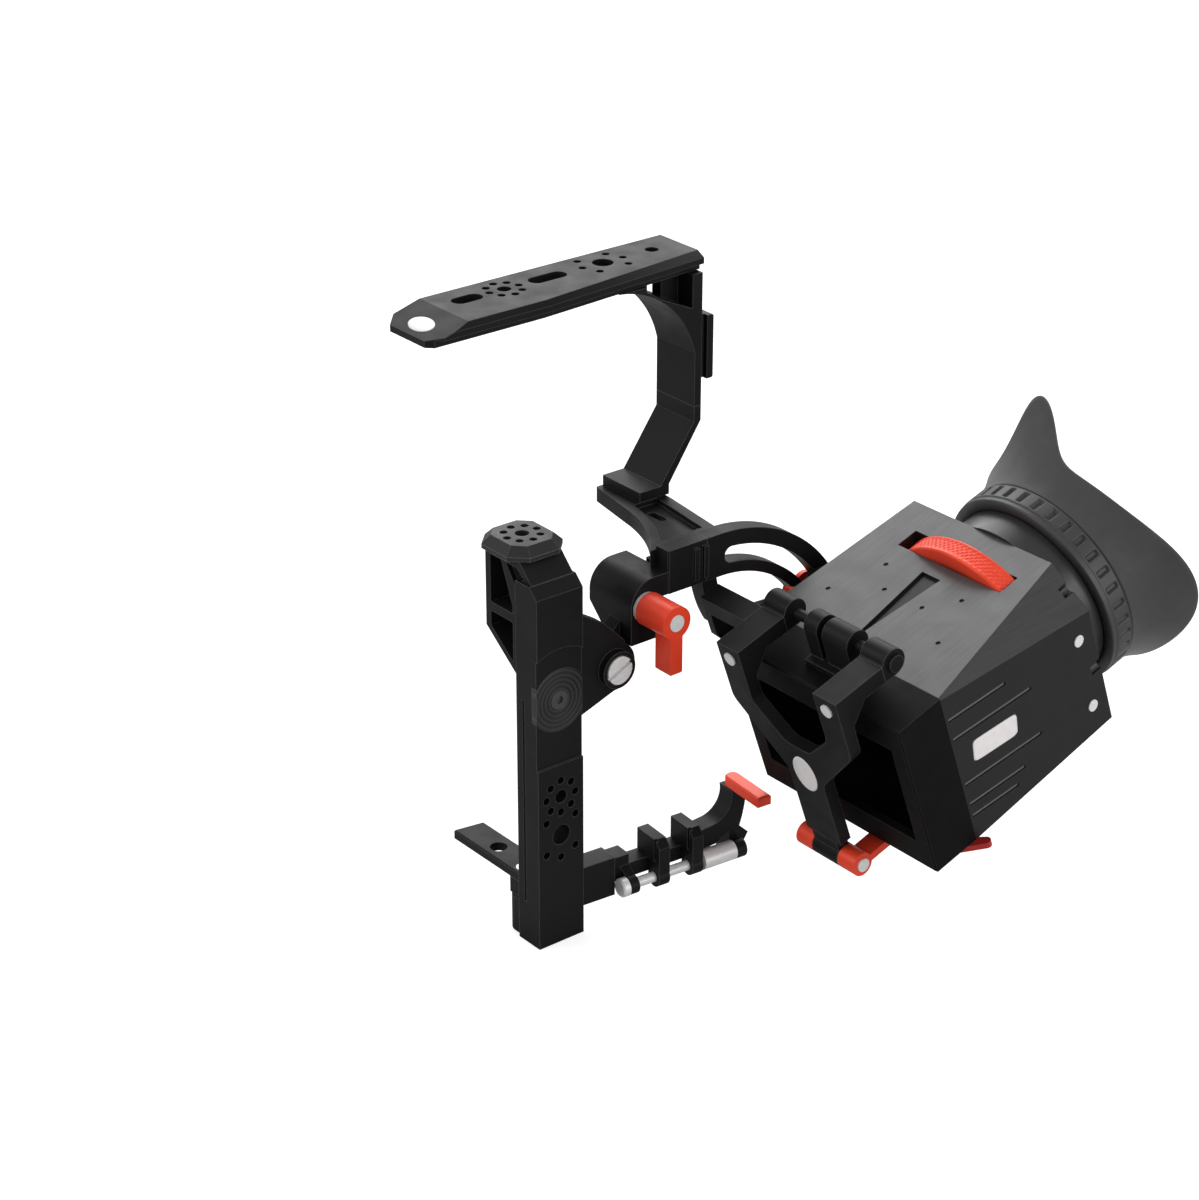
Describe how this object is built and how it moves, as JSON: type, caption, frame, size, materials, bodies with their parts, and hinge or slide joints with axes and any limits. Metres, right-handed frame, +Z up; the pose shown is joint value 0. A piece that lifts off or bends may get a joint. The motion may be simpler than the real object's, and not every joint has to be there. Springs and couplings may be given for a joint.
{
  "type": "camera cage",
  "caption": "Camera cage with a drilled side post, bevelled top rail, clamp with curved track, low rail with rod, and a tilting flip-up viewfinder loupe.",
  "frame": {"origin": "centre of the camera screw hole, on the base plate's upper face", "axes": "+Z up, the camera's lens looks along -Y, the viewfinder is on the +X side"},
  "size_m": [0.1813, 0.2486, 0.233],
  "materials": {
    "black_anodised": "black anodised, fine bead-blasted",
    "grey_anodised": "black anodised, satin with bright edges",
    "steel": "turned, satin",
    "red_anodised": "orange-red anodised",
    "dark_red": "dark red anodised",
    "name_plate": "plain light plate, bare",
    "finder_black": "black anodised, brushed",
    "ring_plastic": "matte black",
    "glass": "coated lens glass",
    "rubber": "soft matte rubber"
  },
  "bodies": {
    "cage": {"base_plate": "black_anodised", "base_screws": "steel", "base_foot": "black_anodised", "side_post": "black_anodised", "rosette_disc": "black_anodised", "rosette_bolt": "steel", "neck_frame": "black_anodised", "post_cap": "grey_anodised", "link_web": "black_anodised", "clamp_block": "black_anodised", "arm_block": "black_anodised", "curved_track": "black_anodised", "rear_strut": "black_anodised", "rear_cross_member": "black_anodised", "riser_leg": "black_anodised", "handle_riser": "black_anodised", "shoe_rail": "black_anodised", "handle_rail": "black_anodised", "rail_badge": "name_plate", "side_rail": "black_anodised", "rail_rod": "steel", "rod_cap": "steel", "rod_sleeve": "steel", "rear_latch": "black_anodised"},
    "thumb_screw": {"thumb_screw": "steel"},
    "clamp_lever": {"clamp_lever": "red_anodised", "clamp_lever_cap": "steel", "clamp_stud": "steel"},
    "clip_front": {"clip_front": "black_anodised"},
    "clip_rear": {"clip_rear": "black_anodised"},
    "latch_lever": {"latch_lever": "red_anodised"},
    "finder_frame": {"finder_carriage": "black_anodised", "carriage_pin": "steel", "finder_bracket": "black_anodised", "finder_frame": "black_anodised", "frame_badge": "name_plate", "frame_screws": "steel", "hinge_lower": "black_anodised", "hinge_pin": "steel", "foot_sleeve": "black_anodised"},
    "track_lock": {"track_lock": "red_anodised"},
    "foot_knob": {"foot_axle": "steel", "foot_knob": "red_anodised", "foot_knob_face": "steel"},
    "loupe": {"hinge_upper": "black_anodised", "finder_bezel": "finder_black", "loupe_shell": "finder_black", "label_plate": "name_plate", "side_screws": "steel", "eyepiece_ring": "ring_plastic", "eyepiece_retainer": "finder_black"},
    "release_lever": {"release_lever": "dark_red"},
    "focus_wheel": {"focus_wheel": "red_anodised"},
    "lens_carrier": {"lens_barrel": "finder_black", "front_lens": "glass", "rear_lens": "glass", "lens_retainer": "finder_black"},
    "eyepiece": {"diopter_ring": "ring_plastic", "eyecup": "rubber"}
  },
  "joints": [
    {"name": "thumb_screw_turn", "type": "hinge", "parent": "cage", "child": "thumb_screw", "pos_m": [0.031, 0.0298, 0.0776], "axis": [1, 0, 0], "continuous": true},
    {"name": "clamp_lever_turn", "type": "hinge", "parent": "cage", "child": "clamp_lever", "pos_m": [0.032, 0.0433, 0.098], "axis": [1, 0, 0], "range_deg": [-110, 0]},
    {"name": "clip_front_slide", "type": "slide", "parent": "cage", "child": "clip_front", "axis": [0.0872, 0.9962, 0], "range_m": [-0.0075, 0.005]},
    {"name": "clip_rear_slide", "type": "slide", "parent": "cage", "child": "clip_rear", "axis": [0.0872, 0.9962, 0], "range_m": [-0.005, 0.001]},
    {"name": "latch_lever_turn", "type": "hinge", "parent": "cage", "child": "latch_lever", "pos_m": [0.03316, 0.08578, 0.011], "axis": [0, 0, 1], "range_deg": [0, 85]},
    {"name": "finder_tilt", "type": "hinge", "parent": "cage", "child": "finder_frame", "pos_m": [0.032, 0.0788, 0.051], "axis": [1, 0, 0], "range_deg": [-19.5, 18]},
    {"name": "track_lock_turn", "type": "hinge", "parent": "finder_frame", "child": "track_lock", "pos_m": [0.032, 0.12747, 0.0791], "axis": [1, 0, 0], "range_deg": [-30, 90]},
    {"name": "foot_knob_turn", "type": "hinge", "parent": "finder_frame", "child": "foot_knob", "pos_m": [0.0905, 0.08472, 0.01002], "axis": [1, 0, 0], "range_deg": [-90, 0]},
    {"name": "loupe_flip", "type": "hinge", "parent": "finder_frame", "child": "loupe", "pos_m": [0.0905, 0.08011, 0.09942], "axis": [1, 0, 0], "range_deg": [0, 110]},
    {"name": "release_lever_turn", "type": "hinge", "parent": "loupe", "child": "release_lever", "pos_m": [0.1265, 0.102, 0.02145], "axis": [0, -0.3338, 0.9426], "range_deg": [-20, 20]},
    {"name": "focus_wheel_turn", "type": "hinge", "parent": "loupe", "child": "focus_wheel", "pos_m": [0.0905, 0.15398, 0.07566], "axis": [0, 0.9426, 0.3338], "range_deg": [-60, 60]},
    {"name": "lens_slide", "type": "slide", "parent": "loupe", "child": "lens_carrier", "axis": [0, 0.9426, 0.3338], "range_m": [-0.004, 0.004]},
    {"name": "eyepiece_turn", "type": "hinge", "parent": "loupe", "child": "eyepiece", "pos_m": [0.0905, 0.18537, 0.08678], "axis": [0, 0.9426, 0.3338], "continuous": true}
  ],
  "couplings": [
    {"joint": "lens_slide", "follows": "focus_wheel_turn", "m_per_rad": 0.0037242}
  ]
}
